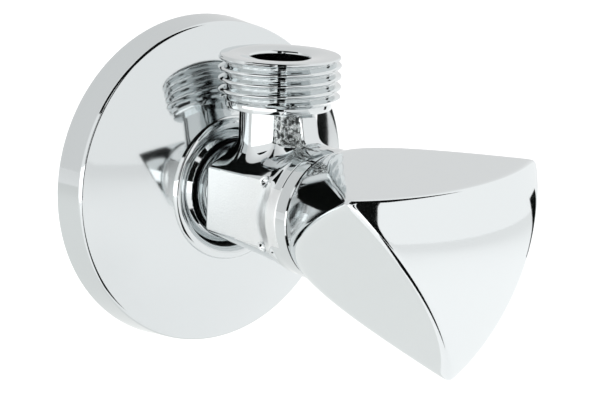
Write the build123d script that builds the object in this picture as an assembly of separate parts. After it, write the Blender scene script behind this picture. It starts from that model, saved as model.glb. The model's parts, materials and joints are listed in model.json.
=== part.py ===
"""Angle stop valve, wall mounted, G 1/2 inlet and G 1/2 outlet.

Frame: millimetres, +Z up along the outlet. The origin is on the inlet axis in the
wall plane. The valve stands out from the wall along -Y, so a "station" is a distance
from the wall: station = -Y. The inlet nipple goes into the wall, towards +Y.
Rest pose: valve closed, rosette against the wall.
"""
import os
from math import cos, radians, sin

from build123d import *

os.makedirs("parts", exist_ok=True)

# ---- G 1/2 parallel pipe thread, shared by inlet and outlet ------------------------
MAJOR_R = 20.955 / 2
THREAD_PITCH = 1.814
THREAD_DEPTH = 1.162
CREST_FLAT = 0.34
UNDERCUT_R = MAJOR_R - THREAD_DEPTH - 0.25
UNDERCUT_LENGTH = 1.2
INLET_CHAMFER = 0.9
OUTLET_CHAMFER = 0.5

# ---- Body, stations along the valve axis --------------------------------------------
NIPPLE_END = -13.0          # end of the inlet nipple, inside the wall
NIPPLE_SHOULDER = -0.2      # shank starts here, past the nipple's undercut
SHANK_R = 10.2              # round shank that carries the rosette
SHANK_TO = 10.8
WAIST_R = 8.8               # narrower waist between shank and block
WAIST_FROM = 12.2
BLOCK_FROM = 17.4           # wrench block with two side flats
BLOCK_TO = 36.0
FLAT_X = 9.8                # wrench flats, half of the 19.6 mm across flats
BOSS_FROM = 31.6            # round front boss
BOSS_TO = 38.7
BOSS_R = 11.0
OUTLET_STATION = 24.0
OUTLET_TOP = 25.0           # height of the outlet's sealing face
OUTLET_SHOULDER = 16.2      # height where the neck meets the thread's undercut
OUTLET_BORE_R = 5.1
OUTLET_MOUTH_R = 7.2        # shallow conical mouth
NECK_R = 6.6
BLOCK_REAR = (5.5, 5.2, 8.2)    # flat's half height, then the shoulder's upper corner x and z
BLOCK_FRONT = (6.1, 6.0, 9.6)
WEB_FOOT = 5.0              # height of the web's lower section
WEB_FOOT_SIZE = (5.2, 9.2, 3.8, 10.8)   # side x, side y, face x, face y from the outlet axis
WEB_HEAD_SIZE = (4.4, 7.0, 3.0, 8.2)
PAD_SIZE = (3.6, 3.2, 6.0)
PAD_AT = (-0.2, 8.0, 12.7)  # x, distance in front of the outlet axis, height
POCKET_SIZE = (3.6, 4.0, 4.6)
POCKET_AT = (-3.8, 8.4, 13.3)
INLET_BORE_R = 6.4
SEAT_STATION = 20.0         # plane of the seat lip
SEAT_BORE_R = 4.4
SEAT_LIP_R = 5.3
CHAMBER_R = 7.6
CHAMBER_TO = 31.4
INLET_BORE_TO = 14.0
SEAT_BORE_FROM = 16.5
BONNET_R = 8.2              # bonnet's outer wall, screwed into the boss
SEAL_GROOVE_R = 9.9         # groove for the bonnet seal in the boss's face
SEAL_GROOVE_FROM = 37.1

# ---- Bonnet, spindle and valve disc ---------------------------------------------------
BONNET_FROM = 29.4
GUIDE_R = 6.2               # bore that guides the disc holder
GUIDE_FLAT = 5.0            # half width between the flats that stop it from turning
GUIDE_FLATS_TO = 32.4
GUIDE_TO = 39.4
THRUST_TO = 41.2
COLLAR_R = 11.3
COLLAR_TO = 42.0
BONNET_NECK_R = 6.6
BONNET_TO = 51.0
STEM_R = 4.0
THRUST_R = 5.5
RUNNING = 0.05              # radial clearance of everything that turns or slides
DRIVE_R = 3.6               # spindle's drive thread, crest radius
DRIVE_ROOT_R = 2.8
DRIVE_PITCH = 1.5
DRIVE_FROM = 30.2
SPLINE_FROM = 52.6
SPLINE_TO = 59.0
SPLINE_R = 3.6
SPLINE_COUNT = 20
STEM_GROOVES = (44.0, 47.4)
COLLAR_STEP = 40.6          # outer face of the spindle's thrust collar
CLIP_BORE_R = 3.3
RING_SECTION = 0.7          # radius of the small O-rings' section
GROOVE_DEPTH = 1.4
WASHER_R = 5.5              # rubber valve washer in the holder's cup
WASHER_TO = 23.0
HOLDER_RIM_R = 6.9
HOLDER_RIM_FROM = 21.6
HOLDER_RIM_TO = 24.8
HOLDER_BORE_FROM = 25.4
HOLDER_ROUND_FROM = 32.5
HOLDER_TO = 34.8
HOLDER_SEAL = 33.6          # station of the holder's O-ring
SCREW_R = 1.5               # both screws are M3

# ---- Handle -----------------------------------------------------------------------------
HANDLE_REAR = 42.3
HANDLE_REAR_R = 11.5
HANDLE_FRONT = 80.0
HANDLE_FRONT_R = 26.7
FLAT_DISTANCE = 12.4        # the three flats from the axis, at the rear
FLAT_TAPER = 1.4            # degrees, the flats close in towards the front
DOME_R = 32.8
DOME_CENTRE = 46.7
LOBE_ANGLE = 35.5           # first lobe, measured from +X towards +Z
HANDLE_WALL = 2.2
HANDLE_MOUTH_R = 9.0
INSERT_R = 6.5              # plastic insert between splines and shell
INSERT_FROM = 53.0
INSERT_WEB = 59.2
INSERT_TO = 64.0
INSERT_SEAL = 57.0
SOCKET_R = 8.6              # shell's inner tube around the insert
SOCKET_FROM = 54.0

# ---- Rosette ------------------------------------------------------------------------------
ROSETTE_R = 28.2
ROSETTE_RIM = 6.4
RIM_ROUND = 1.1
ROSETTE_SHEET = 0.6
ROSETTE_HOLE_R = 10.35
LIP_R = 11.45
LIP_STATION = 11.6
LIP_BEAD_R = 1.1


def turned(*points):
    """Solid turned about the valve axis from (radius, station) points."""
    outline = Polyline(*[(radius, -station) for radius, station in points], close=True)
    return revolve(make_face(outline), Axis.Y)


def ring(inner_r, outer_r, start, end):
    """Plain ring or bush about the valve axis."""
    return turned((inner_r, start), (outer_r, start), (outer_r, end), (inner_r, end))


def rod(radius, start, end):
    """Plain cylinder on the valve axis."""
    return turned((0, start), (radius, start), (radius, end), (0, end))


def upright(*points):
    """Solid turned about the outlet's vertical axis from (radius, height) points."""
    outline = Polyline(*points, close=True)
    return Pos(0, -OUTLET_STATION, 0) * revolve(Plane.XZ * make_face(outline), Axis.Z)


def o_ring(centre_r, section_r, station):
    """Rubber ring of round section about the valve axis."""
    return Pos(0, -station, 0) * Rot(X=90) * Torus(centre_r, section_r)


def groove_ring(shaft_r, station):
    """O-ring lying on the floor of a groove in a shaft."""
    return o_ring(shaft_r - GROOVE_DEPTH + RING_SECTION, RING_SECTION, station)


def section_plane(station):
    """Plane across the valve axis, seen from the handle's end, +Z up."""
    return Plane(origin=(0, -station, 0), x_dir=(1, 0, 0), z_dir=(0, -1, 0))


def thread_outline(start, end, root_r, crest_r, pitch, flat, chamfer):
    """Points (radius, position) of a thread's ridges, from its chamfered end to its start."""
    direction = 1 if end > start else -1
    flank = (pitch - 2 * flat) / 2
    room = abs(end - start) - chamfer - flat - flank
    points = [(crest_r - chamfer, end)]
    for k in range(int(room // pitch) + 1):
        crest_end = end - direction * (chamfer + k * pitch)
        if k > 0:
            points.append((root_r, crest_end + direction * flank))
        points += [(crest_r, crest_end), (crest_r, crest_end - direction * flat),
                   (root_r, crest_end - direction * (flat + flank))]
    return points


# ---- Valve body ---------------------------------------------------------------------------
def block_section(half_height, corner_x, corner_z):
    """Eight-sided section with upright side flats."""
    corners = [
        (FLAT_X, -half_height), (FLAT_X, half_height), (corner_x, corner_z),
        (-corner_x, corner_z), (-FLAT_X, half_height), (-FLAT_X, -half_height),
        (-corner_x, -corner_z), (corner_x, -corner_z)]
    return make_face(Polyline(*corners, close=True))


def wrench_block():
    """Cast block between shank and boss, a little taller towards the front."""
    rear = section_plane(BLOCK_FROM) * block_section(*BLOCK_REAR)
    front = section_plane(BLOCK_TO) * block_section(*BLOCK_FRONT)
    return loft([rear, front], ruled=True)


def outlet_neck():
    """Round column with a flat-faced web in front that widens downwards."""
    def web_section(height, side_x, side_y, face_x, face_y):
        half = [(side_x, 0), (side_x, -side_y), (face_x, -face_y)]
        mirrored = [(-x, y) for x, y in reversed(half)]
        return Pos(0, -OUTLET_STATION, height) * make_face(Polyline(*half, *mirrored, close=True))

    column = upright((0, 0), (NECK_R, 0), (NECK_R, OUTLET_SHOULDER), (0, OUTLET_SHOULDER))
    top = web_section(OUTLET_SHOULDER, *WEB_HEAD_SIZE)
    bottom = web_section(WEB_FOOT, *WEB_FOOT_SIZE)
    return column + loft([bottom, top], ruled=True)


def web_block(size, at):
    """Box in front of the outlet axis, for the raised pad and the pocket beside it."""
    x, ahead, height = at
    return Pos(x, -OUTLET_STATION - ahead, height) * Box(*size)


def outlet_thread():
    """Undercut and male thread of the outlet."""
    shoulder = OUTLET_SHOULDER + UNDERCUT_LENGTH
    ridges = thread_outline(shoulder, OUTLET_TOP, MAJOR_R - THREAD_DEPTH, MAJOR_R,
                            THREAD_PITCH, CREST_FLAT, OUTLET_CHAMFER)
    return upright(
        (0, OUTLET_SHOULDER), (UNDERCUT_R, OUTLET_SHOULDER), (UNDERCUT_R, shoulder),
        *reversed(ridges), (0, OUTLET_TOP))


def inlet_nipple():
    """Undercut and male thread of the inlet, with the neck that joins the shank."""
    shoulder = NIPPLE_SHOULDER - UNDERCUT_LENGTH
    ridges = thread_outline(shoulder, NIPPLE_END, MAJOR_R - THREAD_DEPTH, MAJOR_R,
                            THREAD_PITCH, CREST_FLAT, INLET_CHAMFER)
    return turned(
        (0, NIPPLE_SHOULDER), (UNDERCUT_R, NIPPLE_SHOULDER), (UNDERCUT_R, shoulder),
        *reversed(ridges), (0, NIPPLE_END))


def waterway():
    """Inlet bore, seat, chamber, bonnet bore, bonnet seal groove and outlet bore."""
    inlet = turned(
        (0, NIPPLE_END), (INLET_BORE_R, NIPPLE_END), (INLET_BORE_R, INLET_BORE_TO),
        (SEAT_BORE_R, SEAT_BORE_FROM), (SEAT_BORE_R, SEAT_STATION), (0, SEAT_STATION))
    chamber = turned(
        (0, SEAT_STATION), (SEAT_LIP_R, SEAT_STATION), (SEAT_LIP_R + 0.7, SEAT_STATION - 1.0),
        (CHAMBER_R, SEAT_STATION - 1.0), (CHAMBER_R, CHAMBER_TO), (BONNET_R, CHAMBER_TO),
        (BONNET_R, SEAL_GROOVE_FROM), (SEAL_GROOVE_R, SEAL_GROOVE_FROM),
        (SEAL_GROOVE_R, BOSS_TO), (0, BOSS_TO))
    outlet = upright(
        (0, 0), (OUTLET_BORE_R, 0), (OUTLET_BORE_R, OUTLET_TOP - 0.5),
        (OUTLET_MOUTH_R, OUTLET_TOP), (0, OUTLET_TOP))
    return inlet + chamber + outlet


def valve_body():
    shank = turned(
        (0, NIPPLE_SHOULDER), (SHANK_R, NIPPLE_SHOULDER), (SHANK_R, SHANK_TO),
        (WAIST_R, WAIST_FROM), (WAIST_R, BLOCK_FROM + 1), (0, BLOCK_FROM + 1))
    boss = turned(
        (0, BOSS_FROM), (BOSS_R - 1.9, BOSS_FROM), (BOSS_R - 0.3, BOSS_FROM + 3.0),
        (BOSS_R, BOSS_FROM + 4.2), (BOSS_R, BOSS_TO), (0, BOSS_TO))
    pad = web_block(PAD_SIZE, PAD_AT)
    pocket = web_block(POCKET_SIZE, POCKET_AT)
    casting = wrench_block() + outlet_neck() + boss + shank + pad - pocket
    return casting + outlet_thread() + inlet_nipple() - waterway()


def inlet_strainer():
    """Fine sieve cup that lies in the inlet bore, with its collar at the mouth."""
    cup = turned(
        (0, -4.0), (4.4, -4.0), (5.3, NIPPLE_END + 1.2), (INLET_BORE_R, NIPPLE_END + 1.2),
        (INLET_BORE_R, NIPPLE_END + 0.2), (4.7, NIPPLE_END + 0.2), (3.8, -4.6), (0, -4.6))
    slots = [Rot(Y=45 * k) * Pos(4.5, 8.2, 0) * Box(3.0, 5.6, 1.1) for k in range(8)]
    return cup - slots


# ---- Bonnet ------------------------------------------------------------------------------------
def along(station, sketch, length, taper=0.0):
    """Extrude a sketch drawn in X and Z outwards from a station."""
    return extrude(section_plane(station) * sketch, amount=length, taper=taper)


def bonnet():
    """Screwed sleeve with a round collar that carries the spindle."""
    shell = turned(
        (GUIDE_R, BONNET_FROM), (CHAMBER_R - 0.2, BONNET_FROM), (CHAMBER_R - 0.2, CHAMBER_TO),
        (BONNET_R, CHAMBER_TO), (BONNET_R, BOSS_TO), (COLLAR_R - 0.3, BOSS_TO),
        (COLLAR_R, BOSS_TO + 0.3), (COLLAR_R, COLLAR_TO - 0.4), (COLLAR_R - 0.4, COLLAR_TO),
        (BONNET_NECK_R, COLLAR_TO), (BONNET_NECK_R, BONNET_TO - 0.5),
        (BONNET_NECK_R - 0.5, BONNET_TO), (STEM_R + RUNNING, BONNET_TO),
        (STEM_R + RUNNING, THRUST_TO), (THRUST_R + RUNNING, THRUST_TO),
        (THRUST_R + RUNNING, GUIDE_TO), (GUIDE_R, GUIDE_TO))
    guide = Circle(GUIDE_R) - Rectangle(2 * GUIDE_FLAT, 3 * GUIDE_R)
    return shell + along(BONNET_FROM, guide, GUIDE_FLATS_TO - BONNET_FROM)


# ---- Spindle and its seals -----------------------------------------------------------------------
def spline_star(root_r, tip_r):
    """Star of fine splines as one closed outline."""
    corners = []
    for k in range(SPLINE_COUNT):
        for radius, shift in ((root_r, -0.5), (tip_r, -0.18), (tip_r, 0.18)):
            angle = radians(360 / SPLINE_COUNT * (k + shift))
            corners.append((radius * cos(angle), radius * sin(angle)))
    return make_face(Polyline(*corners, close=True))


def spline_teeth():
    """Splined end of the spindle, which is also the insert's socket."""
    return along(SPLINE_FROM, spline_star(SPLINE_R - 0.4, SPLINE_R), SPLINE_TO - SPLINE_FROM)


def stem():
    """Turned spindle: drive thread, thrust collar, seal grooves, clip groove, splines."""
    groove_r = STEM_R - GROOVE_DEPTH
    half = RING_SECTION + 0.1
    drive = thread_outline(GUIDE_TO, DRIVE_FROM, DRIVE_ROOT_R, DRIVE_R, DRIVE_PITCH, 0.4, 0.4)
    outline = [(0, DRIVE_FROM), *drive, (DRIVE_ROOT_R, GUIDE_TO), (THRUST_R, GUIDE_TO),
               (THRUST_R, COLLAR_STEP), (STEM_R, COLLAR_STEP)]
    for station in STEM_GROOVES:
        outline += [(STEM_R, station - half), (groove_r, station - half),
                    (groove_r, station + half), (STEM_R, station + half)]
    outline += [(STEM_R, BONNET_TO + 0.2), (CLIP_BORE_R, BONNET_TO + 0.2),
                (CLIP_BORE_R, BONNET_TO + 1.0), (STEM_R, BONNET_TO + 1.0),
                (STEM_R, SPLINE_FROM), (0, SPLINE_FROM)]
    return turned(*outline) + spline_teeth() - rod(SCREW_R, SPLINE_TO - 8, SPLINE_TO)


def stem_clip():
    """Open spring clip outside the bonnet that keeps the spindle in."""
    clip = ring(CLIP_BORE_R, 5.8, BONNET_TO + 0.25, BONNET_TO + 0.95)
    return clip - Pos(5, -BONNET_TO, 0) * Box(10, 4, 4.4)


# ---- Valve disc -----------------------------------------------------------------------------------
def disc_holder():
    """Piston that screws along the spindle without turning and carries the washer."""
    outer_r = GUIDE_R - RUNNING
    groove_r = outer_r - GROOVE_DEPTH
    half = RING_SECTION + 0.1
    round_end = turned(
        (0, HOLDER_ROUND_FROM), (outer_r, HOLDER_ROUND_FROM), (outer_r, HOLDER_SEAL - half),
        (groove_r, HOLDER_SEAL - half), (groove_r, HOLDER_SEAL + half),
        (outer_r, HOLDER_SEAL + half), (outer_r, HOLDER_TO), (0, HOLDER_TO))
    flatted = Circle(outer_r) & Rectangle(2 * (GUIDE_FLAT - RUNNING), 3 * outer_r)
    shaft = along(HOLDER_RIM_TO, flatted, HOLDER_ROUND_FROM - HOLDER_RIM_TO)
    cup = rod(HOLDER_RIM_R, HOLDER_RIM_FROM, HOLDER_RIM_TO) - rod(WASHER_R, HOLDER_RIM_FROM, WASHER_TO)
    bore = rod(DRIVE_R + RUNNING, HOLDER_BORE_FROM, HOLDER_TO)
    return cup + shaft + round_end - bore - rod(SCREW_R, WASHER_TO, HOLDER_BORE_FROM)


def pan_screw(head_r, head_height, under_head, tip):
    """Pan head screw with a slotted head; its shank runs from under the head to the tip."""
    outward = 1 if under_head > tip else -1
    head_end = under_head + outward * head_height
    slot = Pos(0, -head_end, 0) * Box(3 * head_r, head_height, 0.7)
    return rod(head_r, *sorted((under_head, head_end))) - slot + rod(SCREW_R, *sorted((under_head, tip)))


# ---- Handle -----------------------------------------------------------------------------------------
def lobed_form(inset):
    """Cone cut by three flats and a dome; inset gives the inside of the shell."""
    cone = turned(
        (0, HANDLE_REAR), (HANDLE_REAR_R - inset, HANDLE_REAR),
        (HANDLE_FRONT_R - inset, HANDLE_FRONT), (0, HANDLE_FRONT))
    dome = Pos(0, -DOME_CENTRE, 0) * Sphere(DOME_R - inset)
    triangle = RegularPolygon(FLAT_DISTANCE - inset, 3, major_radius=False, rotation=LOBE_ANGLE)
    return cone & dome & along(HANDLE_REAR, triangle, HANDLE_FRONT - HANDLE_REAR, FLAT_TAPER)


def handle_shell():
    """Hollow cast shell with a tube inside that grips the insert."""
    outside = lobed_form(0)
    hollow = lobed_form(HANDLE_WALL) - rod(3 * HANDLE_REAR_R, HANDLE_REAR - 1, HANDLE_REAR + HANDLE_WALL)
    tube = ring(INSERT_R, SOCKET_R, SOCKET_FROM, HANDLE_FRONT) & lobed_form(HANDLE_WALL / 2)
    return outside - hollow - rod(HANDLE_MOUTH_R, HANDLE_REAR, SOCKET_FROM) + tube


def handle_insert():
    """Splined plastic bush between spindle and shell."""
    half = RING_SECTION + 0.05
    groove_r = INSERT_R - GROOVE_DEPTH
    bush = turned(
        (0, INSERT_FROM), (INSERT_R, INSERT_FROM), (INSERT_R, INSERT_SEAL - half),
        (groove_r, INSERT_SEAL - half), (groove_r, INSERT_SEAL + half),
        (INSERT_R, INSERT_SEAL + half), (INSERT_R, INSERT_TO), (4.2, INSERT_TO),
        (4.2, INSERT_WEB + 1.2), (SCREW_R + 0.1, INSERT_WEB + 1.2),
        (SCREW_R + 0.1, SPLINE_TO), (0, SPLINE_TO))
    return bush - spline_teeth() - rod(STEM_R, INSERT_FROM, SPLINE_FROM)


# ---- Rosette ------------------------------------------------------------------------------------------
def rosette_form(inset):
    """Solid bell with a rounded rim and a slightly convex face."""
    rim = Line((0, 0), (ROSETTE_R - inset, 0))
    side = Line(rim @ 1, (ROSETTE_R - 0.4 - inset, inset - ROSETTE_RIM))
    front = ThreePointArc(side @ 1, (20.3, inset - 9.6), (LIP_R, inset - LIP_STATION))
    top = Line(front @ 1, (0, inset - LIP_STATION))
    bell = revolve(make_face(rim + side + front + top + Line(top @ 1, (0, 0))), Axis.Y)
    rim_edges = bell.edges().filter_by(GeomType.CIRCLE).filter_by(
        lambda edge: edge.radius > ROSETTE_R - 1.5 and edge.center().Y < -1)
    return fillet(rim_edges, RIM_ROUND - inset / 2)


def rosette():
    """Thin pressed wall cover with a rolled lip around its hole."""
    sheet = rosette_form(0) - rosette_form(ROSETTE_SHEET)
    return sheet + o_ring(LIP_R, LIP_BEAD_R, LIP_STATION) - rod(ROSETTE_HOLE_R, -1, LIP_STATION + 2)


def rosette_grip_ring():
    """Rubber bush behind the rolled lip that grips the shank."""
    behind_lip = LIP_STATION - LIP_BEAD_R - 0.05
    return ring(SHANK_R + RUNNING, LIP_R + 0.7, behind_lip - 2.2, behind_lip)


# ---- Write every sub-part --------------------------------------------------------------------------------
parts = {
    "valve_body": valve_body(),
    "inlet_strainer": inlet_strainer(),
    "inlet_seal_ring": ring(UNDERCUT_R, SHANK_R, NIPPLE_SHOULDER - 1.15, NIPPLE_SHOULDER),
    "bonnet": bonnet(),
    "bonnet_o_ring": o_ring(SEAL_GROOVE_R - 0.85, 0.8, SEAL_GROOVE_FROM + 0.8),
    "rosette": rosette(),
    "rosette_grip_ring": rosette_grip_ring(),
    "stem": stem(),
    "stem_o_ring_inner": groove_ring(STEM_R, STEM_GROOVES[0]),
    "stem_o_ring_outer": groove_ring(STEM_R, STEM_GROOVES[1]),
    "thrust_washer": ring(STEM_R + RUNNING, THRUST_R, COLLAR_STEP, THRUST_TO),
    "stem_clip": stem_clip(),
    "disc_holder": disc_holder(),
    "holder_o_ring": groove_ring(GUIDE_R - RUNNING, HOLDER_SEAL),
    "valve_washer": ring(SCREW_R, WASHER_R, SEAT_STATION, WASHER_TO),
    "washer_screw": pan_screw(2.9, 1.4, SEAT_STATION, HOLDER_BORE_FROM - 0.4),
    "handle_insert": handle_insert(),
    "insert_washer": ring(SCREW_R, 3.0, INSERT_WEB + 1.2, INSERT_WEB + 1.8),
    "insert_screw": pan_screw(2.9, 1.8, INSERT_WEB + 1.8, SPLINE_TO - 7),
    "handle_shell": handle_shell(),
    "shell_grip_ring": groove_ring(INSERT_R, INSERT_SEAL),
}

for node, shape in parts.items():
    export_step(shape, f"parts/{node}.step")
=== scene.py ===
"""Looks of a chromed angle stop valve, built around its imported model."""

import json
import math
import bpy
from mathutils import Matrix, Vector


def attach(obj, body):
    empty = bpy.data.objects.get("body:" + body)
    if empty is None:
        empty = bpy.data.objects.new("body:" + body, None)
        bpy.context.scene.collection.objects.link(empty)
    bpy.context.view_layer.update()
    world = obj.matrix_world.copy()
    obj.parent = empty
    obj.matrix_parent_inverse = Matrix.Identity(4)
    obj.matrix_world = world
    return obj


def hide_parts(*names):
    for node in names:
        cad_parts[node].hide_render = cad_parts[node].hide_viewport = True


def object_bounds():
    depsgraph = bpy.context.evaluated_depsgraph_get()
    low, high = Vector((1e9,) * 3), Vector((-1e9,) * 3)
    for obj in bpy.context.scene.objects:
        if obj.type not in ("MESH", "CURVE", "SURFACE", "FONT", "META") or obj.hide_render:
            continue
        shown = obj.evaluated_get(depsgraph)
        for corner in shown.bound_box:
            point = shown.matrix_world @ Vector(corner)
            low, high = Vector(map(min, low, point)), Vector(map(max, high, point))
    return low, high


bl_info = {
    "name": "Angle stop valve finish",
    "version": (1, 0, 0),
    "blender": (4, 5, 0),
    "location": "View3D > Sidebar > Valve",
    "description": "Plated, rubber and plastic finishes, fine meshes and a product stage",
    "category": "Object",
}

import bmesh
import bpy
import numpy as np
from bpy.props import FloatProperty, FloatVectorProperty, IntProperty, PointerProperty
from mathutils import Matrix, Vector

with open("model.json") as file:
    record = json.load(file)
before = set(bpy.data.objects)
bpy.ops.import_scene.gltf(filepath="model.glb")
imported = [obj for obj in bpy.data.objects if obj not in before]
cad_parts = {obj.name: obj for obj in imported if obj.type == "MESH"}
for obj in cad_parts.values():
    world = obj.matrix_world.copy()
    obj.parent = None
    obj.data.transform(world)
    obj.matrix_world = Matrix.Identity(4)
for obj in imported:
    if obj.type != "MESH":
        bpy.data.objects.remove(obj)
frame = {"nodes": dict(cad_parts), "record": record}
cad_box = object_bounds()

MM = 0.001
BLACK = "0b0d0c"
# The grey below is painted shade: a floor sheet behind the valve that only reflections see.
FLOOR_SHADE_GREY = "dfe0df"

# The outlet thread is G 1/2; its mount gives the crest radius and the axis.
MOUNTS = {mount["name"]: mount for mount in frame["record"]["mounts"]}
THREAD_CREST_R = MOUNTS["outlet_thread"]["dims"]["r_mm"] * MM
OUTLET_AXIS_Y = MOUNTS["outlet_thread"]["pos_m"][1]
OUTLET_TOP = MOUNTS["outlet_face"]["pos_m"][2]
THREAD_PITCH = 1.814 * MM
THREAD_DEPTH = 1.162 * MM
END_ROUND = 0.35 * MM           # rounding of a threaded end's outer edge
RUN_OUT_HEIGHT = 0.9 * MM       # thread starts this far above the undercut's shoulder
RUN_OUT_SLOPE = 1.4
OVERLAP = 0.2 * MM              # how far a threaded end reaches into the casting


# ---- Colours and nodes -----------------------------------------------------------------
def colour(hex_text):
    """Linear RGBA from an sRGB hex colour such as 'c9ccce'."""
    def linear(channel):
        value = int(channel, 16) / 255
        return value / 12.92 if value <= 0.04045 else ((value + 0.055) / 1.055) ** 2.4

    return (*(linear(hex_text[k:k + 2]) for k in (0, 2, 4)), 1.0)


def add_node(tree, kind, inputs=None, links=None, **settings):
    """Adds a node with attribute settings, socket values and links from other sockets."""
    node = tree.nodes.new(kind)
    for name, value in settings.items():
        setattr(node, name, value)
    for socket, value in (inputs or {}).items():
        node.inputs[socket].default_value = value
    for socket, source in (links or {}).items():
        tree.links.new(source, node.inputs[socket])
    return node


def new_material(name, shader_values):
    """Material with an empty tree that holds one Principled shader and its output."""
    material = bpy.data.materials.new(name)
    material.use_nodes = True
    tree = material.node_tree
    tree.nodes.clear()
    shader = add_node(tree, "ShaderNodeBsdfPrincipled", shader_values)
    add_node(tree, "ShaderNodeOutputMaterial", links={"Surface": shader.outputs["BSDF"]})
    return material, tree, shader


def noise_at(tree, grain_mm, detail=3.0, roughness=0.5):
    """Noise whose grains are grain_mm wide on the real piece."""
    place = add_node(tree, "ShaderNodeTexCoord")
    return add_node(
        tree, "ShaderNodeTexNoise",
        {"Scale": 1 / (grain_mm * MM), "Detail": detail, "Roughness": roughness},
        {"Vector": place.outputs["Object"]})


def spread(tree, source, low, high):
    """Maps a 0 to 1 value to low to high."""
    return add_node(tree, "ShaderNodeMapRange", {"To Min": low, "To Max": high},
                    {"Value": source})


def bump_from(tree, shader, height, distance_mm, strength=1.0):
    """Bump of a given real height on the shader's normal."""
    bump = add_node(tree, "ShaderNodeBump", {"Distance": distance_mm * MM, "Strength": strength},
                    {"Height": height})
    tree.links.new(bump.outputs["Normal"], shader.inputs["Normal"])


def plated_chrome(name, tint, waviness_um, roughness=0.05):
    """Bright nickel-chrome plate: mirror gloss over the faint waves of hand polishing."""
    material, tree, shader = new_material(
        name, {"Base Color": tint, "Metallic": 1.0, "Roughness": roughness})
    haze = noise_at(tree, 2.5)
    gloss = spread(tree, haze.outputs["Fac"], roughness - 0.02, roughness + 0.025)
    tree.links.new(gloss.outputs["Result"], shader.inputs["Roughness"])
    waves = noise_at(tree, 5.0, detail=1.0)
    bump_from(tree, shader, waves.outputs["Fac"], waviness_um * 0.001)
    return material


def as_cast_chrome():
    """Plate over an unpolished sand-cast skin: a grain bump, with painted shade in its hollows and
    painted glints on its crests.

    Real grains are about 0.3 mm wide; they are drawn at 0.9 mm so that they show.
    """
    material, tree, shader = new_material(
        "as_cast_plated_brass",
        {"Base Color": colour("c4c8c8"), "Metallic": 1.0, "Roughness": 0.12})
    grain = noise_at(tree, 0.9, detail=4.0, roughness=0.65)
    bump_from(tree, shader, grain.outputs["Fac"], 0.9)
    # Painted shade and highlight: the base colour goes dark where the grain is low and bright where
    # it is high.
    pit_shade_and_glint = add_node(tree, "ShaderNodeMapRange", {"From Min": 0.42, "From Max": 0.52},
                    {"Value": grain.outputs["Fac"]})
    tint = add_node(tree, "ShaderNodeMix", {"A": colour("4a4d4d"), "B": colour("e4e8e8")},
                    {"Factor": pit_shade_and_glint.outputs["Result"]}, data_type="RGBA")
    tree.links.new(tint.outputs["Result"], shader.inputs["Base Color"])
    return material


def satin_chrome():
    """Plate over a blasted wrench flat: a soft, even sheen with no clear reflections."""
    material, tree, shader = new_material(
        "blasted_plated_brass",
        {"Base Color": colour("e6e8e8"), "Metallic": 1.0, "Roughness": 0.34})
    grain = noise_at(tree, 0.35, detail=2.0)
    bump_from(tree, shader, grain.outputs["Fac"], 0.03)
    return material


def turned_brass():
    """Bare turned brass: fine rings around the axis and a little tarnish."""
    material, tree, shader = new_material(
        "turned_brass", {"Base Color": colour("c9a25a"), "Metallic": 1.0, "Roughness": 0.25})
    stain = noise_at(tree, 3.0)
    tint = add_node(tree, "ShaderNodeMix", {"A": colour("b98f48"), "B": colour("d8b56e")},
                    {"Factor": stain.outputs["Fac"]}, data_type="RGBA")
    tree.links.new(tint.outputs["Result"], shader.inputs["Base Color"])
    return material


def bright_stainless():
    """Drawn stainless steel: grey, slightly hazy metal."""
    material, tree, shader = new_material(
        "bright_stainless", {"Base Color": colour("b9bab8"), "Metallic": 1.0, "Roughness": 0.3})
    haze = noise_at(tree, 0.8)
    gloss = spread(tree, haze.outputs["Fac"], 0.22, 0.36)
    tree.links.new(gloss.outputs["Result"], shader.inputs["Roughness"])
    return material


def moulded_rubber():
    """Black EPDM from a mould: dull, with a fine even grain."""
    material, tree, shader = new_material(
        "moulded_epdm", {"Base Color": colour("1a1b1b"), "Roughness": 0.6, "IOR": 1.52})
    grain = noise_at(tree, 0.15)
    bump_from(tree, shader, grain.outputs["Fac"], 0.01)
    gloss = spread(tree, grain.outputs["Fac"], 0.5, 0.72)
    tree.links.new(gloss.outputs["Result"], shader.inputs["Roughness"])
    return material


def moulded_plastic(name, hex_text, roughness):
    """Moulded engineering plastic: satin, with a soft colour mottle."""
    material, tree, shader = new_material(
        name, {"Base Color": colour(hex_text), "Roughness": roughness, "IOR": 1.48})
    grain = noise_at(tree, 0.3)
    gloss = spread(tree, grain.outputs["Fac"], roughness - 0.05, roughness + 0.08)
    tree.links.new(gloss.outputs["Result"], shader.inputs["Roughness"])
    return material


# ---- Mesh helpers ------------------------------------------------------------------------
def mesh_object(name, vertices, faces, material, body):
    """Object with smooth shading that rides on a body."""
    mesh = bpy.data.meshes.new(name)
    mesh.from_pydata(vertices, [], faces)
    mesh.update()
    mesh.shade_smooth()
    piece = bpy.data.objects.new(name, mesh)
    bpy.context.scene.collection.objects.link(piece)
    piece.data.materials.append(material)
    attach(piece, body)
    return piece


def grid_faces(rows, columns):
    """Quads of a grid that closes around its columns."""
    return [
        (r * columns + c, r * columns + (c + 1) % columns,
         (r + 1) * columns + (c + 1) % columns, (r + 1) * columns + c)
        for r in range(rows - 1) for c in range(columns)]


def around_valve(radius, station, angle):
    """Point at a radius and angle about the valve axis, station metres from the wall."""
    return (radius * math.cos(angle), -station, radius * math.sin(angle))


def arc(centre, radius, start, end, steps):
    """Points of an arc in a (radius, station) profile, angles in degrees."""
    return [
        (centre[0] + radius * math.cos(math.radians(start + (end - start) * k / steps)),
         centre[1] + radius * math.sin(math.radians(start + (end - start) * k / steps)))
        for k in range(steps + 1)]


# ---- Settings -------------------------------------------------------------------------------
def plating_property(hex_text):
    """Colour setting for a plated surface."""
    return FloatVectorProperty(name="Plating", description="Colour of the plate", subtype="COLOR",
                               size=4, min=0, max=1, default=colour(hex_text))


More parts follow.
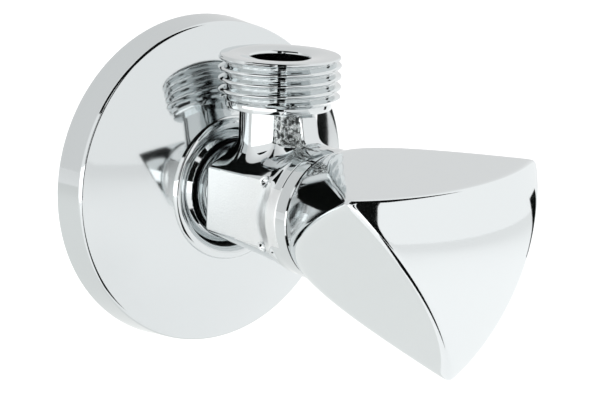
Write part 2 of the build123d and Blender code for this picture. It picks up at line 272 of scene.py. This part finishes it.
class HandleSettings(bpy.types.PropertyGroup):
    """Shape of the lobed handle, in metres."""
    rear: FloatProperty(name="Rear", description="Station of the rear rim",
                        default=42.3 * MM, unit="LENGTH")
    rear_radius: FloatProperty(name="Rear radius", description="Cone radius at the rear rim",
                               default=11.5 * MM, unit="LENGTH")
    cone_slope: FloatProperty(name="Cone slope", description="Growth of the cone per length",
                              default=15.2 / 37.7)
    flat_distance: FloatProperty(name="Flat distance", description="Flats from the axis at the rear",
                                 default=12.4 * MM, unit="LENGTH")
    flat_taper: FloatProperty(name="Flat taper", description="Lean of the flats towards the axis",
                              default=math.radians(1.4), subtype="ANGLE")
    dome_radius: FloatProperty(name="Dome radius", description="Radius of the front dome",
                               default=32.8 * MM, unit="LENGTH")
    dome_centre: FloatProperty(name="Dome centre", description="Station of the dome's centre",
                               default=46.7 * MM, unit="LENGTH")
    lobe_angle: FloatProperty(name="Lobe angle", description="First lobe from +X towards +Z",
                              default=math.radians(35.5), subtype="ANGLE")
    mouth_radius: FloatProperty(name="Mouth radius", description="Opening at the rear",
                                default=9.0 * MM, unit="LENGTH")
    edge_sharpness: FloatProperty(name="Edge sharpness", description="Larger is a crisper edge",
                                  default=55.0)
    hollow_end: FloatProperty(name="Hollow end", description="Station where the rear hollow ends",
                              default=53 * MM, unit="LENGTH")
    bore_radius: FloatProperty(name="Bore", description="Radius of the bore around the bush",
                               default=6.5 * MM, unit="LENGTH")
    bore_end: FloatProperty(name="Bore end", description="Station of the bore's floor",
                            default=64 * MM, unit="LENGTH")
    rim_chamfer: FloatProperty(name="Rim chamfer", description="Chamfer inside the rear rim",
                               default=0.3 * MM, unit="LENGTH")
    plating: plating_property("dde1e2")
    columns: IntProperty(name="Columns", description="Mesh columns around the axis", default=432)
    rows: IntProperty(name="Rows", description="Mesh rows from rim to dome", default=170)


class RosetteSettings(bpy.types.PropertyGroup):
    """Shape of the wall cover, in metres."""
    radius: FloatProperty(name="Radius", description="Outer radius", default=28.2 * MM, unit="LENGTH")
    rim: FloatProperty(name="Rim", description="Depth of the rim", default=6.4 * MM, unit="LENGTH")
    sheet: FloatProperty(name="Sheet", description="Sheet thickness", default=0.6 * MM, unit="LENGTH")
    edge_radius: FloatProperty(name="Edge", description="Rounding between rim and face",
                               default=0.9 * MM, unit="LENGTH")
    draft: FloatProperty(name="Draft", description="How far the rim leans in towards the face",
                         default=0.35 * MM, unit="LENGTH")
    bulge: FloatProperty(name="Bulge", description="Rise of the face above a straight cone",
                         default=0.55 * MM, unit="LENGTH")
    lip_radius: FloatProperty(name="Lip", description="Radius of the lip's bead", default=11.45 * MM,
                              unit="LENGTH")
    lip_station: FloatProperty(name="Lip station", description="Bead's distance from the wall",
                               default=11.6 * MM, unit="LENGTH")
    bead_radius: FloatProperty(name="Bead", description="Radius of the bead's section",
                               default=1.1 * MM, unit="LENGTH")
    plating: plating_property("d1d5d6")
    columns: IntProperty(name="Columns", description="Mesh columns around the axis", default=256)


class BodySettings(bpy.types.PropertyGroup):
    """Fineness and colour of the cast body, in metres."""
    plating: plating_property("d2d6d7")
    grain: FloatProperty(name="Grain", description="Mesh size of the casting", unit="LENGTH",
                         default=0.25 * MM)


class StageSettings(bpy.types.PropertyGroup):
    """Floor, lights and camera."""
    azimuth: FloatProperty(name="Azimuth", description="Camera azimuth", subtype="ANGLE",
                           default=math.radians(-37.6))
    elevation: FloatProperty(name="Elevation", description="Camera elevation", subtype="ANGLE",
                             default=math.radians(11.07))
    roll: FloatProperty(name="Roll", description="Camera roll", subtype="ANGLE",
                        default=math.radians(2.2))
    distance: FloatProperty(name="Distance", description="Camera distance", unit="LENGTH",
                            default=1.0)
    lens: FloatProperty(name="Lens", description="Focal length in mm", default=354.2)
    target: FloatVectorProperty(name="Target", description="Point the camera looks at",
                                default=(2.87 * MM, -27.2 * MM, 0.2 * MM), subtype="XYZ")
    floor_drop: FloatProperty(name="Floor drop", description="Floor below the valve", unit="LENGTH",
                              default=60 * MM)
    floor_colour: FloatVectorProperty(name="Floor colour", description="Colour of the paper floor",
                                      subtype="COLOR", size=4, min=0, max=1,
                                      default=colour("f4f4f4"))
    front_light: FloatProperty(name="Front light", description="Radiance of the studio in front",
                               default=1.14)
    rear_light: FloatProperty(name="Rear light", description="Radiance of the studio behind",
                              default=0.83)


# ---- Pieces ------------------------------------------------------------------------------------
class VALVE_OT_handle(bpy.types.Operator):
    """Builds the lobed handle shell as one fine mesh with softly rounded edges"""
    bl_idname = "valve.handle"
    bl_label = "Handle shell"

    def execute(self, context):
        s = context.scene.valve_handle
        material = plated_chrome("plated_zinc_casting", tuple(s.plating), 0.6)
        centre = 0.5 * (s.rear + s.dome_centre + s.dome_radius)
        vertices = []
        front = math.radians(90)
        rim_pitch = math.atan2(s.rear - centre, s.rear_radius)
        for row in range(s.rows):
            pitch = rim_pitch + (front - rim_pitch) * row / (s.rows - 1)
            for column in range(s.columns):
                angle = 2 * math.pi * column / s.columns
                vertices.append(self.surface_point(s, centre, pitch, angle))
        faces = grid_faces(s.rows, s.columns)
        inner = self.inner_profile(s)
        for radius, station in inner:
            vertices += [around_valve(radius, station, 2 * math.pi * c / s.columns)
                         for c in range(s.columns)]
        first_inner = s.rows * s.columns
        bridge = grid_faces(len(inner), s.columns)
        faces += [tuple(first_inner + index for index in reversed(face)) for face in bridge]
        faces += [(c, first_inner + c, first_inner + (c + 1) % s.columns, (c + 1) % s.columns)
                  for c in range(s.columns)]
        piece = mesh_object("handle_shell_polished", vertices, faces, material,
                            "handle")
        merge_and_sharpen(piece, 50)
        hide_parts("handle_shell")
        return {"FINISHED"}

    def surface_point(self, s, centre, pitch, angle):
        """Where a ray from the middle meets the rounded shell."""
        outward = math.cos(pitch)
        forward = math.sin(pitch)
        reaches = []
        slope = outward - s.cone_slope * forward
        if slope > 1e-6:
            cone_r = s.rear_radius + s.cone_slope * (centre - s.rear)
            reaches.append(cone_r / slope)
        for k in range(3):
            normal = s.lobe_angle + math.pi / 3 + k * 2 * math.pi / 3
            lean = math.tan(s.flat_taper)
            along = outward * math.cos(angle - normal) + forward * lean
            if along > 1e-6:
                reaches.append((s.flat_distance - lean * (centre - s.rear)) / along)
        offset = centre - s.dome_centre
        reaches.append(-offset * forward + math.sqrt(
            s.dome_radius ** 2 - (offset * outward) ** 2))
        reach = sum(r ** -s.edge_sharpness for r in reaches) ** (-1 / s.edge_sharpness)
        if forward < 0:
            reach = min(reach, (centre - s.rear) / -forward)
        return around_valve(reach * outward, centre + reach * forward, angle)

    def inner_profile(self, s):
        """Rear rim and mouth, from the rim's inner edge to the socket around the bush."""
        pole_r = 0.1 * MM
        return [(s.mouth_radius + s.rim_chamfer, s.rear), (s.mouth_radius, s.rear + s.rim_chamfer),
                (s.mouth_radius, s.hollow_end), (s.bore_radius, s.hollow_end),
                (s.bore_radius, s.bore_end), (pole_r, s.bore_end)]


def merge_and_sharpen(piece, angle_deg):
    """Merges doubled points, turns faces outwards and keeps real corners crisp."""
    form = bmesh.new()
    form.from_mesh(piece.data)
    bmesh.ops.remove_doubles(form, verts=form.verts, dist=1e-7)
    bmesh.ops.recalc_face_normals(form, faces=form.faces)
    form.to_mesh(piece.data)
    form.free()
    piece.data.set_sharp_from_angle(angle=math.radians(angle_deg))


def lathe(name, profile, columns, material, body, sharp_deg=35):
    """Closed turned piece about the valve axis from (radius, station) points."""
    vertices = []
    for radius, station in profile + [profile[0]]:
        vertices += [around_valve(radius, station, 2 * math.pi * c / columns)
                     for c in range(columns)]
    piece = mesh_object(name, vertices, grid_faces(len(profile) + 1, columns), material, body)
    merge_and_sharpen(piece, sharp_deg)
    return piece


class VALVE_OT_rosette(bpy.types.Operator):
    """Builds the pressed wall cover with its rounded rim and rolled lip"""
    bl_idname = "valve.rosette"
    bl_label = "Rosette"

    def execute(self, context):
        s = context.scene.valve_rosette
        material = plated_chrome("plated_brass_pressing", tuple(s.plating), 0.5, 0.07)
        outside = self.bell(s, 0.0)
        inside = self.bell(s, s.sheet)
        bead_start, bead_end = 20, 262
        bead = arc((s.lip_radius, s.lip_station), s.bead_radius, bead_start, bead_end, 26)
        profile = outside + bead + inside[::-1]
        piece = lathe("rosette_polished", profile, s.columns, material, "rosette")
        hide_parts("rosette")
        return {"FINISHED"}

    def bell(self, s, inset):
        """Rim, rounded edge and slightly convex face as (radius, station) points."""
        edge_r = s.edge_radius - inset * 0.5
        rim_top = s.rim - inset
        side = s.radius - inset
        rim_edge = arc((side - s.draft - edge_r, rim_top - edge_r), edge_r, 4, 72, 10)
        face = []
        steps = 14
        start = rim_edge[-1]
        end = arc((s.lip_radius, s.lip_station - inset), s.bead_radius, 10, 10, 1)[0]
        for k in range(1, steps + 1):
            t = k / steps
            rise = s.bulge * 4 * t * (1 - t)
            face.append((start[0] + (end[0] - start[0]) * t,
                         start[1] + (end[1] - start[1]) * t + rise))
        return [(side, 0.0), (side - 0.05 * MM, 0.4 * MM)] + rim_edge + face


# ---- Sizes of the cast body, in millimetres ---------------------------------------------------
BLOCK = 17.4, 36.0              # wrench block, from station to station
BLOCK_HALF = 5.5, 6.1           # half height of its flats, rear then front
BLOCK_TOP = 8.2, 9.6            # half height of its top, rear then front
BLOCK_SHOULDER = 5.2, 6.0       # half width of its top, rear then front
FLAT_X = 9.8                    # wrench flats from the middle
BOSS_STATIONS = 31.2, 34.6, 35.8
BOSS_RADII = 9.0, 10.7, 11.0
BOSS_TO = 38.7
SHANK_FROM = -0.2
SHANK_STATIONS = 10.8, 12.2
SHANK_RADII = 10.2, 8.8
SHANK_TO = 18.4
OUTLET_STATION = 24.0
NECK_R = 6.6
NECK_TOP = 16.3
WEB = 5.0, 16.2                 # web in front of the neck, foot and head heights
WEB_SIDE = 5.2, 4.4             # its half width, foot then head
WEB_BEND = 9.2, 7.0             # where its sides start to close in
WEB_FACE = 10.8, 8.2            # its face from the outlet's axis
WEB_NARROW = 3.8, 3.0           # half width of that face
WEB_SLIM = 1.5                  # narrower by this on one side
WEB_SLIM_HEIGHTS = 8.0, 10.5
PAD_AT = -0.2, 12.7             # raised pad on the web: x, height, then half sizes and rise
PAD_HALF = 1.8, 3.0
PAD_RISE = 0.45
POCKET_AT = -3.8, 13.3          # unpolished pocket beside it
POCKET_HALF = 1.8, 2.3
POCKET_FLOOR = 6.5
GRAIN_AT = -3.5, 13.3           # where the as-cast skin is left
GRAIN_HALF = 1.7, 2.6
GRAIN_FROM = 28.8
DIMPLE_AT = 10.0, 33.6, 5.7
DIMPLE_R = 0.9
BORES = ((6.4, -14, 14.2), (4.4, 14, 20), (7.6, 19, 31.4), (8.2, 31.4, 40), (9.9, 37.1, 40))
OUTLET_BORE_R = 5.1
SEAT_LIP = 4.4, 5.3, 18.5, 20   # inner and outer radius, from station to station

# ---- Cast body -------------------------------------------------------------------------------
# The casting is one blended form: each function gives the distance of points (x, s, z) from a
# surface in millimetres, less than zero inside, with s the station from the wall.
def soft_cut(a, b, blend):
    """Inside both forms, with the edge between them rounded over the blend width."""
    step = np.maximum(blend - np.abs(a - b), 0) / blend
    return np.maximum(a, b) + step * step * blend / 4


def soft_join(a, b, blend):
    """Inside either form, with a fillet between them."""
    return -soft_cut(-a, -b, blend)


def ramp(value, start, end, low, high):
    """Straight change from low at start to high at end, level beyond both."""
    return low + (high - low) * np.clip((value - start) / (end - start), 0, 1)


def corner(u, v, first, second):
    """Distance in front of a slanted face through two points of the (u, v) plane."""
    across = second[1] - first[1], first[0] - second[0]
    length = np.hypot(*across)
    return ((u - first[0]) * across[0] + (v - first[1]) * across[1]) / length


def between(value, start, end):
    """Distance to a slab, less than zero between its two faces."""
    return np.maximum(start - value, value - end)


def wrench_block(x, s, z):
    """Block with two upright wrench flats and slanted shoulders, taller in front."""
    half = ramp(s, *BLOCK, *BLOCK_HALF)
    top = ramp(s, *BLOCK, *BLOCK_TOP)
    wide = ramp(s, *BLOCK, *BLOCK_SHOULDER)
    shoulder = corner(np.abs(x), np.abs(z), (FLAT_X, half), (wide, top))
    form = soft_cut(shoulder, np.abs(z) - top, 2.4)
    form = soft_cut(form, np.abs(x) - FLAT_X, 0.35)
    return soft_cut(form, between(s, *BLOCK), 0.8)


def round_boss(x, s, z):
    """Round front boss that swells out of the block."""
    radius = np.interp(s, BOSS_STATIONS, BOSS_RADII)
    return soft_cut((np.hypot(x, z) - radius) * 0.9, between(s, BOSS_STATIONS[0], BOSS_TO), 0.5)


def shank(x, s, z):
    """Round shank behind the cover, with a narrower waist."""
    radius = np.interp(s, SHANK_STATIONS, SHANK_RADII)
    return np.maximum((np.hypot(x, z) - radius) * 0.75, between(s, SHANK_FROM, SHANK_TO))


def outlet_column(x, s, z):
    """Round column that carries the outlet."""
    return np.maximum(np.hypot(x, s - OUTLET_STATION) - NECK_R, between(z, 0, NECK_TOP))


def panel(x, z, at, half):
    """Distances past the sides and past the ends of an upright panel."""
    return np.abs(x - at[0]) - half[0], np.abs(z - at[1]) - half[1]


def front_web(x, s, z):
    """Cast web in front of the column, with a raised pad and a pocket beside it."""
    ahead = s - OUTLET_STATION
    slimmer = np.where(x > 0, ramp(z, *WEB_SLIM_HEIGHTS, 0, WEB_SLIM), 0)
    side = ramp(z, *WEB, *WEB_SIDE) - slimmer
    narrow = ramp(z, *WEB, *WEB_NARROW) - slimmer
    bend = ramp(z, *WEB, *WEB_BEND)
    face = ramp(z, *WEB, *WEB_FACE)
    form = soft_cut(np.abs(x) - side, corner(np.abs(x), ahead, (side, bend), (narrow, face)), 1.6)
    form = soft_cut(form, ahead - face, 1.6)
    form = np.maximum(form, np.maximum(-ahead, between(z, 0, NECK_TOP)))
    pad = soft_cut(*panel(x, z, PAD_AT, PAD_HALF), 0.9)
    pad = soft_cut(np.maximum(pad, -ahead), ahead - face - PAD_RISE, 0.5)
    pocket = soft_cut(*panel(x, z, POCKET_AT, POCKET_HALF), 1.0)
    pocket = soft_cut(pocket, POCKET_FLOOR - ahead, 1.0)
    return soft_cut(soft_join(form, pad, 0.5), -pocket, 0.7)


def waterway(x, s, z):
    """Inlet bore, seat, chamber, bonnet bore, seal groove and outlet bore."""
    across = np.hypot(x, z)
    passage = np.maximum(np.hypot(x, s - OUTLET_STATION) - OUTLET_BORE_R, -z)
    for radius, start, end in BORES:
        passage = np.minimum(passage, np.maximum(across - radius, between(s, start, end)))
    lip = np.maximum(between(across, *SEAT_LIP[:2]), between(s, *SEAT_LIP[2:]))
    return np.maximum(passage, -lip)


def flat_dimples(x, s, z):
    """Small cast dimples where the corners of the wrench flats meet the boss."""
    away = np.abs(x) - DIMPLE_AT[0], s - DIMPLE_AT[1], np.abs(z) - DIMPLE_AT[2]
    return np.sqrt(away[0] ** 2 + away[1] ** 2 + away[2] ** 2) - DIMPLE_R


def casting(x, s, z):
    """The whole casting without its threads."""
    body = soft_join(wrench_block(x, s, z), round_boss(x, s, z), 0.7)
    body = soft_join(body, shank(x, s, z), 0.8)
    upper = soft_join(outlet_column(x, s, z), front_web(x, s, z), 0.8)
    body = soft_join(body, upper, 2.6)
    body = soft_cut(body, -flat_dimples(x, s, z), 0.3)
    body = np.maximum(body, z - NECK_TOP)
    return np.maximum(body, -waterway(x, s, z))


def skin(distance, low, high, step):
    """Points and quads of the surface where a distance is zero, one point to a crossed cell."""
    axes = [np.arange(low[k], high[k] + step, step) for k in range(3)]
    values = distance(*np.meshgrid(*axes, indexing="ij"))
    inside = values < 0
    cells = tuple(n - 1 for n in values.shape)
    total = np.zeros((*cells, 3))
    count = np.zeros(cells)
    corners = [(i, j, k) for i in (0, 1) for j in (0, 1) for k in (0, 1)]

    def at(grid, offset):
        return grid[tuple(slice(o, o + n) for o, n in zip(offset, cells))]

    for first in corners:
        for axis in range(3):
            if first[axis]:
                continue
            second = tuple(v + (k == axis) for k, v in enumerate(first))
            a, b = at(values, first), at(values, second)
            crossed = (a < 0) != (b < 0)
            share = np.where(crossed, a / np.where(crossed, a - b, 1), 0)
            for k in range(3):
                total[..., k] += np.where(crossed, first[k] + (share if k == axis else 0), 0)
            count += crossed
    used = count > 0
    number = np.full(cells, -1)
    number[used] = np.arange(used.sum())
    index = np.argwhere(used)
    points = np.array(low) + step * (index + total[used] / count[used][:, None])
    quads = []
    for axis in range(3):
        u, v = (axis + 1) % 3, (axis + 2) % 3
        ahead = [slice(None)] * 3
        behind = [slice(None)] * 3
        ahead[axis], behind[axis] = slice(1, None), slice(None, -1)
        enters = inside[tuple(behind)] & ~inside[tuple(ahead)]
        leaves = ~inside[tuple(behind)] & inside[tuple(ahead)]
        for crossing, order in ((enters, (0, 1, 2, 3)), (leaves, (3, 2, 1, 0))):
            at_edge = np.argwhere(crossing)
            at_edge = at_edge[(at_edge[:, u] > 0) & (at_edge[:, v] > 0)]
            ring = []
            for du, dv in ((1, 1), (0, 1), (0, 0), (1, 0)):
                cell = at_edge.copy()
                cell[:, u] -= du
                cell[:, v] -= dv
                ring.append(number[tuple(cell.T)])
            quads.append(np.stack([ring[k] for k in order], axis=1))
    return points, np.concatenate(quads)


def slope(distance, points, width=0.02):
    """Gradient of a distance at points."""
    columns = []
    for axis in range(3):
        shift = np.zeros(3)
        shift[axis] = width
        columns.append(distance(*(points + shift).T) - distance(*(points - shift).T))
    return np.stack(columns, axis=1) / (2 * width)


def settle(distance, points, rounds=4):
    """Moves points onto the surface and gives the surface's normals there."""
    for _ in range(rounds):
        lean = slope(distance, points)
        size = np.maximum((lean ** 2).sum(axis=1), 0.2)
        move = distance(*points.T)[:, None] * lean / size[:, None]
        points = points - np.clip(move, -0.1, 0.1)
    lean = slope(distance, points)
    return points, lean / np.linalg.norm(lean, axis=1)[:, None]


def thread_radius(climb, turn):
    """Radius of the G 1/2 thread, with rounded crests, a height up its axis and a part turn on."""
    phase = (climb / THREAD_PITCH - turn) % 1.0
    ridge = (0.5 + 0.5 * math.cos(2 * math.pi * phase)) ** 0.8
    return THREAD_CREST_R - THREAD_DEPTH * (1 - ridge)


def threaded_section(turn, bore, mouth, end, shoulder, chamfer):
    """Closed (radius, height) outline of a threaded end, a part turn around it."""
    edge = THREAD_CREST_R - chamfer
    base = THREAD_CREST_R - THREAD_DEPTH - 0.25 * MM
    top = end - END_ROUND
    foot = shoulder + RUN_OUT_HEIGHT
    outline = [(bore, shoulder - OVERLAP), (bore, end - 3 * MM), (bore, end - 0.8 * MM), *mouth]
    outline += arc((edge - END_ROUND, top), END_ROUND, 90, 0, 8)
    steps = 150
    for k in range(1, steps + 1):
        height = top - (top - foot) * k / steps
        lead_in = edge + top - height
        run_out = base + RUN_OUT_SLOPE * max(0.0, height - foot)
        outline.append((min(thread_radius(height, turn), lead_in, run_out), height))
    outline += [(base, shoulder + 0.6 * MM), (base, shoulder),
                (base - 0.15 * MM, shoulder - OVERLAP), (bore, shoulder - OVERLAP)]
    return outline


def threaded_end(name, bore, mouth, end, shoulder, chamfer, place, material):
    """Closed sleeve with a mouth, a sealing face, a running thread and an undercut below it."""
    columns = 240
    sections = [threaded_section(column / columns, bore, mouth, end, shoulder, chamfer)
                for column in range(columns)]
    rows = len(sections[0])
    vertices = [place(*sections[column][row], 2 * math.pi * column / columns)
                for row in range(rows) for column in range(columns)]
    piece = mesh_object(name, vertices, grid_faces(rows, columns), material, "valve")
    merge_and_sharpen(piece, 40)
    return piece


def upright_place(radius, height, angle):
    """Point about the outlet's axis."""
    return radius * math.cos(angle), OUTLET_AXIS_Y + radius * math.sin(angle), height


def inlet_place(radius, height, angle):
    """Point about the valve axis, height metres into the wall."""
    return radius * math.cos(angle), height, -radius * math.sin(angle)


class VALVE_OT_body(bpy.types.Operator):
    """Builds the cast body with soft blends, its wrench flats and both running threads"""
    bl_idname = "valve.body"
    bl_label = "Valve body"

    def execute(self, context):
        s = context.scene.valve_body
        polished = plated_chrome("plated_brass_casting", tuple(s.plating), 0.8)
        low, high = (-11.7, -0.85, -11.7), (11.7, 39.2, 16.9)
        points, quads = skin(casting, low, high, s.grain / MM)
        points, normals = settle(casting, points)
        places = np.stack([points[:, 0], -points[:, 1], points[:, 2]], axis=1) * MM
        facing_out = np.stack([normals[:, 0], -normals[:, 1], normals[:, 2]], axis=1)
        piece = mesh_object("valve_body_cast", places.tolist(), quads[:, ::-1].tolist(), polished,
                            "valve")
        piece.data.normals_split_custom_set_from_vertices(facing_out.tolist())
        piece.data.materials.append(as_cast_chrome())
        piece.data.materials.append(satin_chrome())
        past_sides, past_ends = panel(points[:, 0], points[:, 2], GRAIN_AT, GRAIN_HALF)
        pocket = (past_sides < 0) & (past_ends < 0) & (points[:, 1] > GRAIN_FROM)
        milled = np.abs(points[:, 0]) > FLAT_X - 0.03
        finish = np.where(pocket[quads].all(axis=1), 1, np.where(milled[quads].all(axis=1), 2, 0))
        piece.data.polygons.foreach_set("material_index", finish.astype(np.int32))
        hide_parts("valve_body")
        outlet = threaded_end(
            "outlet_thread_cut", 5.1 * MM,
            [(5.1 * MM, OUTLET_TOP - 0.6 * MM), (5.3 * MM, OUTLET_TOP - 0.35 * MM),
             (7.2 * MM, OUTLET_TOP)],
            OUTLET_TOP, 16.2 * MM, 0.15 * MM, upright_place, polished)
        inlet = threaded_end(
            "inlet_thread_cut", 6.4 * MM, [(6.4 * MM, 12.7 * MM), (6.7 * MM, 13 * MM)],
            13 * MM, 0.2 * MM, 0.8 * MM, inlet_place, polished)
        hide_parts("valve_body")
        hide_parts("valve_body")
        return {"FINISHED"}


class VALVE_OT_inner_finishes(bpy.types.Operator):
    """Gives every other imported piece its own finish"""
    bl_idname = "valve.inner_finishes"
    bl_label = "Seals, spindle and fixings"

    def execute(self, context):
        finishes = {
            "plated_brass": plated_chrome("plated_brass_turning", colour("d2d6d7"), 0.4),
            "brass": turned_brass(),
            "stainless": bright_stainless(),
            "rubber": moulded_rubber(),
            "white_plastic": moulded_plastic("skived_ptfe", "dfdfd8", 0.4),
            "grey_plastic": moulded_plastic("moulded_acetal", "8a8c8d", 0.35),
        }
        for part in frame["record"]["subparts"]:
            node = frame["nodes"][part["node"]]
            if part["material_slot"] not in finishes or part["node"] == "valve_body":
                continue
            node.data.materials.clear()
            node.data.materials.append(finishes[part["material_slot"]])
        return {"FINISHED"}


# ---- Stage ---------------------------------------------------------------------------------------
# name, azimuth and elevation in degrees, distance, width and height in metres, radiance,
# whether the metal mirrors it
SOFT_BOXES = (
    ("left_box", -82, -5, 0.32, 0.52, 0.11, 1.1, True),
    ("backdrop_box", 142, 42, 0.75, 0.5, 0.5, 2.0, False),
    ("foreground_box", 25, 50, 0.8, 0.6, 0.6, 0.9, False),
)
# name, azimuth and elevation in degrees, distance, width and height in metres
CARDS = (
    ("camera_card", -34, 12, 0.35, 0.1, 0.8),
    ("dome_card", -53, 20, 0.35, 0.06, 0.20),
    ("upper_left_card", -88, 52, 0.35, 0.30, 0.20),
    ("ceiling_card", -60, 84, 0.5, 0.5, 0.45),
    ("right_card", 83, -13, 0.35, 0.06, 0.21),
)


def direction(azimuth, elevation):
    """Unit vector from the object towards a camera azimuth and elevation in degrees."""
    a, e = math.radians(azimuth), math.radians(elevation)
    return Vector((math.sin(a) * math.cos(e), -math.cos(a) * math.cos(e), math.sin(e)))


def facing(obj, place, target):
    """Puts an object at a place with its -Z axis towards the target."""
    obj.location = place
    obj.rotation_euler = (target - place).to_track_quat("-Z", "Y").to_euler()


class VALVE_OT_stage(bpy.types.Operator):
    """Pale floor, white studio, soft boxes, dark cards and the camera"""
    bl_idname = "valve.stage"
    bl_label = "Stage"

    def execute(self, context):
        s = context.scene.valve_stage
        self.centre = Vector(s.target)
        self.floor(s)
        self.world(context, s)
        for name, *placing in SOFT_BOXES:
            self.soft_box(name, *placing)
        for name, *placing in CARDS:
            self.card(name, *placing)
        self.sheets(s)
        self.camera(context, s)
        context.scene.view_settings.view_transform = "Standard"
        return {"FINISHED"}

    def floor(self, s):
        """Matt paper floor that runs past the picture on every side."""
        side = 12
        bpy.ops.mesh.primitive_plane_add(size=side, location=(0, 0, cad_box[0][2] - s.floor_drop))
        floor = bpy.context.object
        floor.name = "pale_floor"
        material, tree, shader = new_material(
            "pale_paper", {"Base Color": tuple(s.floor_colour), "Roughness": 0.9})
        floor.data.materials.append(material)

    def sheets(self, s):
        """Paper on the floor and one louvred card, which shape the dark reflections; the grey floor
        sheet and the card are painted shade.
        """
        low = cad_box[0][2] - s.floor_drop
        # Painted shade: a grey sheet behind the valve, seen only in reflections, stands in for the
        # dimmer floor there.
        self.sheet("painted_floor_shade", FLOOR_SHADE_GREY, (-0.2, 0.22, low + 2 * MM), 0.62, 0.44)
        strip = self.sheet("front_strip", BLACK, (-0.123, -0.158, low + 3 * MM), 0.05, 0.3)
        strip.rotation_euler = (0, 0, math.radians(-38))
        # Painted shade: a black card in the empty space between the rosette and the body, seen only
        # from the handle's cone, darkens its reflection there.
        behind_handle = Vector((-10.5, -14.5, 9.5)) * MM
        upright = self.sheet("cone_shade_card", BLACK, behind_handle, 14 * MM, 9 * MM,
                             louvre=(-0.5, -0.86, 0))
        upright.rotation_euler = (math.radians(90), 0, 0)

    def world(self, context, s):
        """White studio, brighter in front of the valve than behind it."""
        world = bpy.data.worlds.new("white_studio")
        world.use_nodes = True
        tree = world.node_tree
        tree.nodes.clear()
        way = add_node(tree, "ShaderNodeTexCoord")
        axes = add_node(tree, "ShaderNodeSeparateXYZ", links={"Vector": way.outputs["Generated"]})
        level = add_node(tree, "ShaderNodeMapRange",
                         {"From Min": 0.4, "From Max": 0.75, "To Min": s.front_light,
                          "To Max": s.rear_light}, {"Value": axes.outputs["Y"]})
        light = add_node(tree, "ShaderNodeBackground", {"Color": (1, 1, 1, 1)},
                         {"Strength": level.outputs["Result"]})
        add_node(tree, "ShaderNodeOutputWorld", links={"Surface": light.outputs["Background"]})
        context.scene.world = world

    def soft_box(self, name, azimuth, elevation, distance, width, height, radiance, mirrored):
        """Area light of a given radiance, aimed at the valve and mirrored in it or not."""
        lamp = bpy.data.lights.new(name, "AREA")
        lamp.shape = "RECTANGLE"
        lamp.size = width
        lamp.size_y = height
        lamp.energy = radiance * math.pi * width * height
        box = bpy.data.objects.new(name, lamp)
        bpy.context.scene.collection.objects.link(box)
        facing(box, self.centre + direction(azimuth, elevation) * distance, self.centre)
        box.visible_glossy = mirrored

    def card(self, name, azimuth, elevation, distance, width, height):
        """Black card that only reflections see, facing the valve."""
        place = self.centre + direction(azimuth, elevation) * distance
        facing(self.sheet(name, BLACK, place, width, height), place, self.centre)

    def sheet(self, name, hex_text, place, width, height, louvre=None):
        """Level sheet of matt paper that only reflections see; some of these sheets are painted
        shade.

        With a louvre it shows only to lines of sight within about 35 degrees of that direction.
        """
        bpy.ops.mesh.primitive_plane_add(size=1, location=place)
        paper = bpy.context.object
        paper.name = name
        paper.scale = (width, height, 1)
        material, tree, shader = new_material(
            name + "_paper", {"Base Color": colour(hex_text), "Roughness": 1.0,
                              "Specular IOR Level": 0.0})
        if louvre:
            gaze = add_node(tree, "ShaderNodeNewGeometry")
            along = add_node(tree, "ShaderNodeVectorMath", {1: louvre},
                             {0: gaze.outputs["Incoming"]}, operation="DOT_PRODUCT")
            hidden = add_node(tree, "ShaderNodeMapRange", {"From Min": 0.84, "From Max": 0.78},
                              {"Value": along.outputs["Value"]})
            clear = add_node(tree, "ShaderNodeBsdfTransparent")
            choice = add_node(tree, "ShaderNodeMixShader", links={
                0: hidden.outputs["Result"], 1: shader.outputs["BSDF"], 2: clear.outputs["BSDF"]})
            tree.links.new(choice.outputs["Shader"], tree.nodes["Material Output"].inputs["Surface"])
        paper.data.materials.append(material)
        paper.visible_camera = False
        paper.visible_diffuse = False
        paper.visible_shadow = False
        return paper

    def camera(self, context, s):
        """Long lens that looks at the target, rolled a little."""
        lens = bpy.data.cameras.new("camera")
        lens.lens = s.lens
        camera = bpy.data.objects.new("camera", lens)
        context.scene.collection.objects.link(camera)
        back = direction(math.degrees(s.azimuth), math.degrees(s.elevation))
        facing(camera, self.centre + back * s.distance, self.centre)
        camera.rotation_euler = (camera.rotation_euler.to_matrix()
                                 @ Matrix.Rotation(s.roll, 3, "Z")).to_euler()
        context.scene.camera = camera


OPERATORS = (VALVE_OT_handle, VALVE_OT_rosette, VALVE_OT_body, VALVE_OT_inner_finishes,
             VALVE_OT_stage)
SETTINGS = {"valve_handle": HandleSettings, "valve_rosette": RosetteSettings,
            "valve_body": BodySettings, "valve_stage": StageSettings}


class VALVE_PT_panel(bpy.types.Panel):
    """Lists the operators in build order"""
    bl_idname = "VALVE_PT_panel"
    bl_label = "Angle stop valve"
    bl_space_type = "VIEW_3D"
    bl_region_type = "UI"
    bl_category = "Valve"

    def draw(self, context):
        for operator in OPERATORS:
            self.layout.operator(operator.bl_idname)


def register():
    for cls in (*SETTINGS.values(), *OPERATORS, VALVE_PT_panel):
        bpy.utils.register_class(cls)
    for name, group in SETTINGS.items():
        setattr(bpy.types.Scene, name, PointerProperty(type=group))


def unregister():
    for name in SETTINGS:
        delattr(bpy.types.Scene, name)
    for cls in reversed((*SETTINGS.values(), *OPERATORS, VALVE_PT_panel)):
        bpy.utils.unregister_class(cls)


def main():
    """Builds everything through the operators."""
    register()
    bpy.ops.valve.handle()
    bpy.ops.valve.rosette()
    bpy.ops.valve.body()
    bpy.ops.valve.inner_finishes()
    bpy.ops.valve.stage()


if __name__ == "__main__":
    main()
